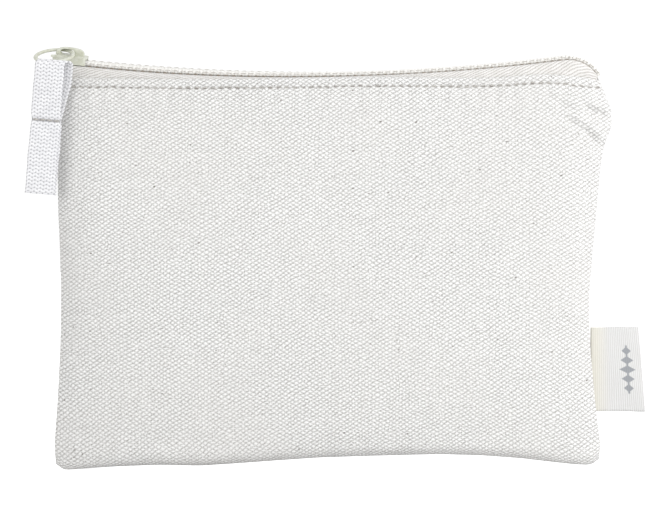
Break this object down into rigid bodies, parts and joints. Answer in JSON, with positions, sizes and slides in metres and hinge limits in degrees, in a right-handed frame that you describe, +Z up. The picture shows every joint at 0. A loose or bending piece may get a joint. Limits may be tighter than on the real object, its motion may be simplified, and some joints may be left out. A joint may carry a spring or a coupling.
{
  "type": "zippered pouch",
  "caption": "Flat cotton canvas pouch with a coil zip along the top, a ring and folded tape pull on the slider, and a folded side label.",
  "frame": {"origin": "centre of the flat base that the pouch stands on, in the plane of the side seams", "axes": "+Z up to the zip, +X to the right seen from the front, -Y out of the front panel"},
  "size_m": [0.2258, 0.0262, 0.1567],
  "materials": {
    "canvas": "undyed plain-weave cotton canvas, matt, with seed flecks",
    "zip_tape": "cream twill-woven polyester tape",
    "coil": "off-white nylon coil, slightly glossy",
    "thread": "off-white sewing thread",
    "slider_paint": "pale ivory paint on zinc, satin",
    "cotton_tape": "off-white cotton herringbone tape",
    "label_ribbon": "cream ribbed ribbon"
  },
  "bodies": {
    "root": {"front_panel": "canvas", "back_panel": "canvas", "front_tape": "zip_tape", "back_tape": "zip_tape", "front_coil": "coil", "back_coil": "coil", "front_filler_cord": "thread", "back_filler_cord": "thread", "front_coil_stitch": "thread", "back_coil_stitch": "thread", "front_topstitch": "thread", "back_topstitch": "thread", "left_seam_stitch": "thread", "right_seam_stitch": "thread", "bottom_seam_stitch": "thread", "left_overlock": "thread", "right_overlock": "thread", "bottom_overlock": "thread"},
    "slider": {"slider_body": "slider_paint", "slider_crown": "slider_paint"},
    "ring": {"pull_ring": "slider_paint"},
    "pull": {"pull_tape": "cotton_tape", "pull_tape_stitch": "thread"},
    "label": {"side_label": "label_ribbon"}
  },
  "joints": [
    {"name": "slider_travel", "type": "hinge", "parent": "root", "child": "slider", "pos_m": [-0.009, 0, 0.905], "axis": [0, -1, 0], "range_deg": [0, 12.91], "deforming": ["front_coil", "back_coil", "front_filler_cord", "back_filler_cord", "front_coil_stitch", "back_coil_stitch"]},
    {"name": "ring_swing", "type": "hinge", "parent": "slider", "child": "ring", "pos_m": [-0.09563, -0.00097, 0.15453], "axis": [-0.6972, 0.6656, 0.2661], "range_deg": [0, 135]},
    {"name": "pull_swing", "type": "hinge", "parent": "ring", "child": "pull", "pos_m": [-0.10139, -0.01164, 0.14974], "axis": [-0.9976, 0, 0.0698], "range_deg": [0, 110]},
    {"name": "label_flap", "type": "hinge", "parent": "root", "child": "label", "pos_m": [0.0993, 0, 0.037], "axis": [0, 0, 1], "range_deg": [-60, 60], "stiffness_Nm_per_rad": 0.0005}
  ]
}
